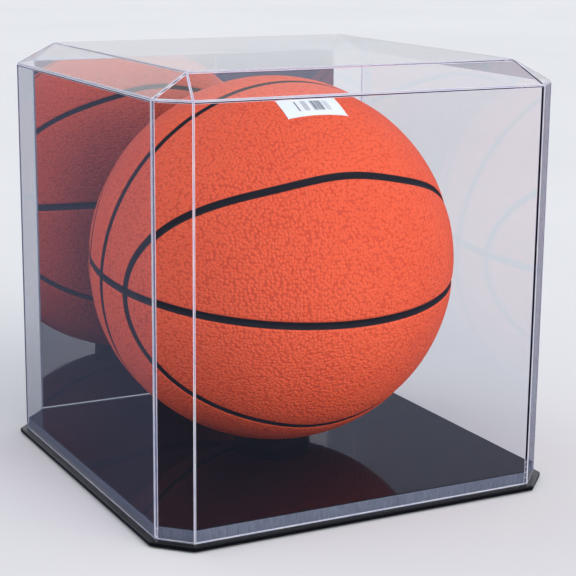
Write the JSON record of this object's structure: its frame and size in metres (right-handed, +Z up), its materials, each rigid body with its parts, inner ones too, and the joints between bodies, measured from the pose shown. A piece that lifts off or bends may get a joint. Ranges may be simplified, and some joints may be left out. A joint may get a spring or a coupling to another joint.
{
  "type": "basketball display case",
  "caption": "Clear display case with cut corners, a bevelled lift-off cover, mirrored back and black base, holding a basketball.",
  "frame": {"origin": "centre of the surface that the feet stand on", "axes": "+Z up, front towards -Y, mirror towards +Y, +X to the right seen from the front"},
  "size_m": [0.28, 0.28, 0.277],
  "materials": {
    "clear_acrylic": "clear, polished",
    "mirror": "silvered, polished",
    "black_acrylic": "high gloss",
    "foot_rubber": "matt",
    "ball_rubber": "pebbled, semi-matt",
    "bladder_rubber": "satin",
    "label_paper": "smooth"
  },
  "bodies": {
    "base": {"base_plate": "black_acrylic", "riser_plate": "black_acrylic", "rubber_feet": "foot_rubber", "ball_ring": "black_acrylic"},
    "cover": {"front_wall": "clear_acrylic", "right_wall": "clear_acrylic", "back_wall": "clear_acrylic", "left_wall": "clear_acrylic", "front_left_corner": "clear_acrylic", "front_right_corner": "clear_acrylic", "back_right_corner": "clear_acrylic", "back_left_corner": "clear_acrylic", "front_bevel": "clear_acrylic", "right_bevel": "clear_acrylic", "back_bevel": "clear_acrylic", "left_bevel": "clear_acrylic", "front_left_facet": "clear_acrylic", "front_right_facet": "clear_acrylic", "back_right_facet": "clear_acrylic", "back_left_facet": "clear_acrylic", "top_panel": "clear_acrylic", "mirror_sheet": "mirror"},
    "ball": {"ball_cover": "ball_rubber", "ball_bladder": "bladder_rubber", "ball_valve": "bladder_rubber", "price_label": "label_paper"}
  },
  "joints": [
    {"name": "cover_lift", "type": "slide", "parent": "base", "child": "cover", "axis": [0, 0, 1], "range_m": [0, 0.3]},
    {"name": "ball_turn", "type": "hinge", "parent": "base", "child": "ball", "pos_m": [0, 0, 0.13813], "axis": [0, 0, 1], "continuous": true}
  ]
}
